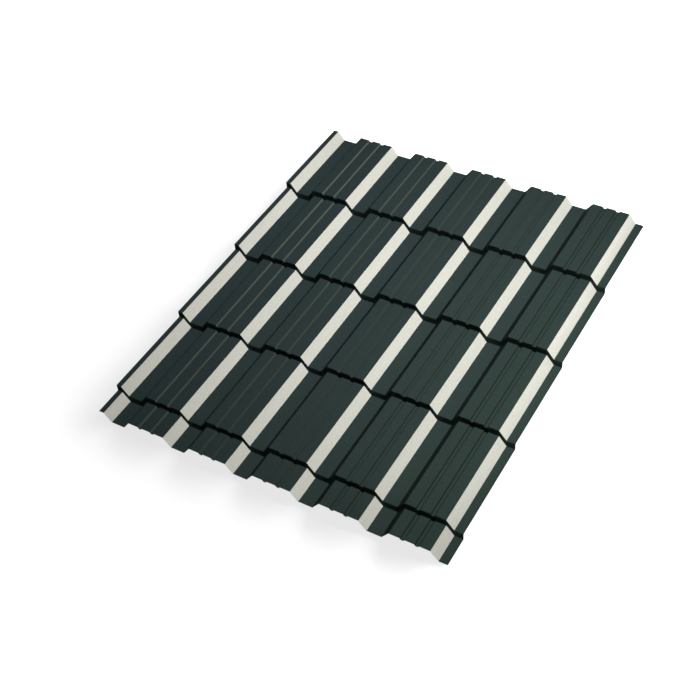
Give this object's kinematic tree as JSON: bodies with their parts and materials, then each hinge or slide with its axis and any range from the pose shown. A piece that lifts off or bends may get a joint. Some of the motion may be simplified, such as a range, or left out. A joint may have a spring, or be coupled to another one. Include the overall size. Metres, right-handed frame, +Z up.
{
  "type": "tile effect metal roofing sheet",
  "caption": "Pressed steel roofing sheet with angular waves, grooved crests and stepped courses that look like laid tiles.",
  "frame": {"origin": "middle of the bounding box in plan, at the lowest point of the underside as the sheet lies on a flat surface", "axes": "+X across the waves, to the right as seen from the eave; +Y up the roof; +Z up from the surface it lies on"},
  "size_m": [1.24, 1.5014, 0.0574],
  "materials": {
    "coated_steel": "satin dark green coating, with pale flanks"
  },
  "bodies": {
    "root": {"sheet": "coated_steel"}
  },
  "joints": []
}
